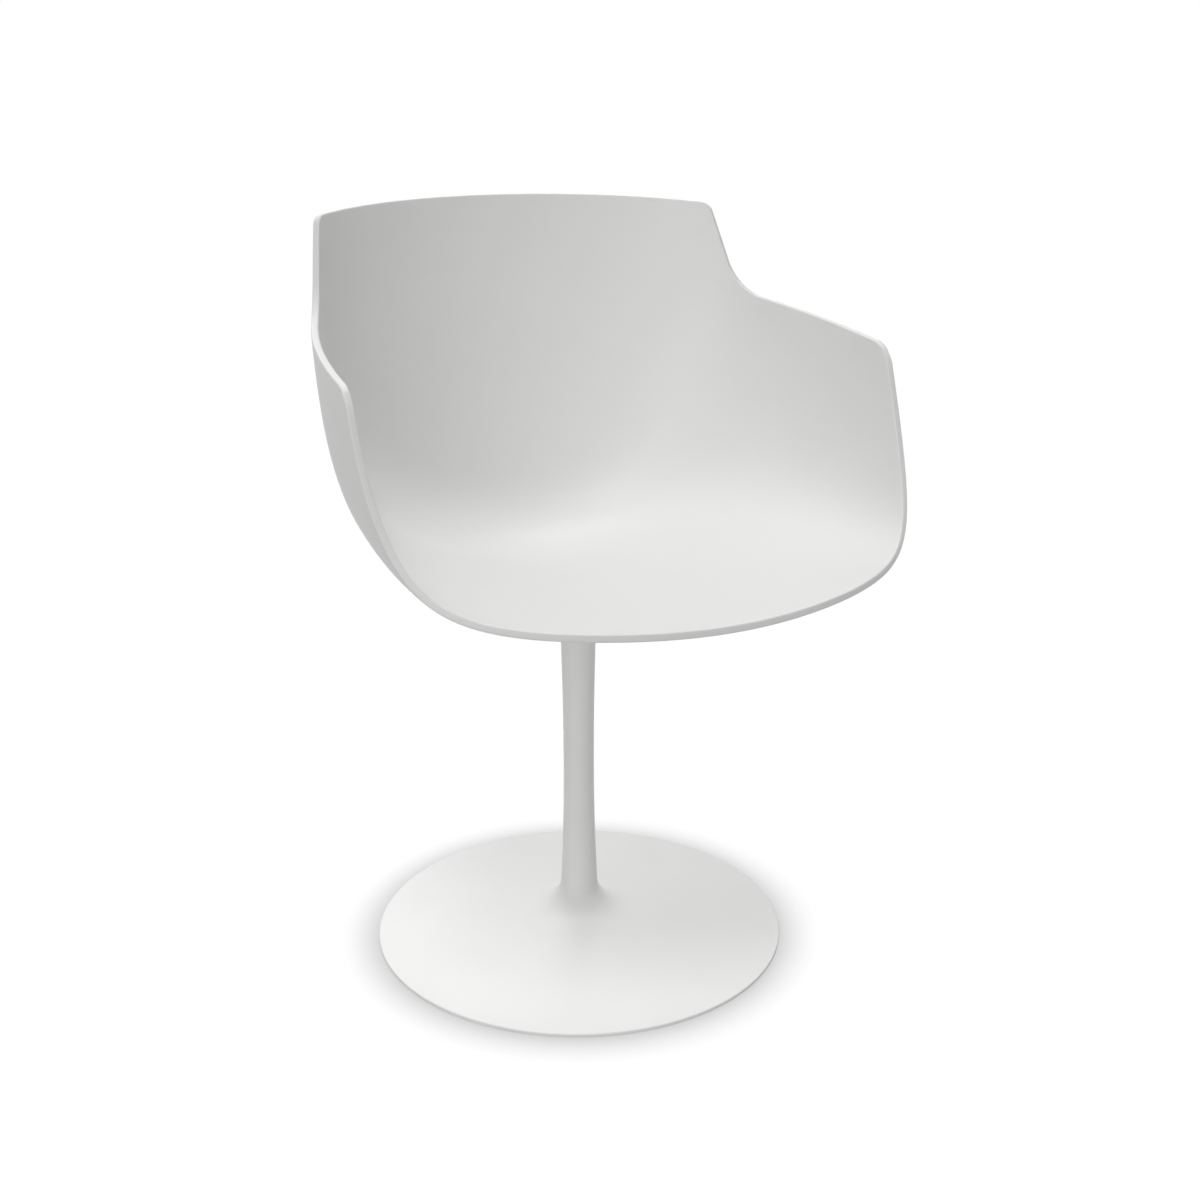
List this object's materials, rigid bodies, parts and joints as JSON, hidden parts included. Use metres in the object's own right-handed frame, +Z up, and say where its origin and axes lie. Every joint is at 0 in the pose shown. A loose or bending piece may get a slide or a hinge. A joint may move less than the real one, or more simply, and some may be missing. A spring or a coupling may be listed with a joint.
{
  "type": "pedestal armchair",
  "caption": "Armchair with a one-piece moulded bucket shell with low arms, which swivels on a slim waisted stem with a round, shallow-cone base.",
  "frame": {"origin": "on the floor, on the axis of the stem and of the swivel", "axes": "+Z up along the swivel axis, -Y the way the sitter faces, +X to the sitter's left"},
  "size_m": [0.5452, 0.5194, 0.7598],
  "materials": {
    "shell_polymer": "fine satin moulded polymer, white",
    "white_coating": "satin powder coating, white",
    "turned_steel": "turned, bright",
    "zinc_steel": "zinc plated",
    "spring_steel": "blackened",
    "brass": "turned and knurled",
    "bearing_polymer": "machined acetal, natural",
    "ballast_iron": "as cast, dark primer",
    "pad_polymer": "fine-grained sheet, dark grey"
  },
  "bodies": {
    "base": {"base_disc": "white_coating", "stem": "white_coating", "stem_plug": "turned_steel", "locating_pin": "turned_steel", "upper_bush": "bearing_polymer", "lower_bush": "bearing_polymer", "base_bolt": "zinc_steel", "base_washer": "zinc_steel", "ballast_plate": "ballast_iron", "ballast_screws": "zinc_steel", "floor_pad": "pad_polymer"},
    "seat": {"seat_shell": "shell_polymer", "shell_inserts": "brass", "seat_plate": "white_coating", "shell_screws": "zinc_steel", "shell_washers": "zinc_steel", "spindle": "turned_steel", "thrust_washer": "bearing_polymer", "retaining_washer": "zinc_steel", "retaining_ring": "spring_steel"}
  },
  "joints": [
    {"name": "seat_swivel", "type": "hinge", "parent": "base", "child": "seat", "pos_m": [0, 0, 0.37], "axis": [0, 0, 1], "continuous": true}
  ]
}
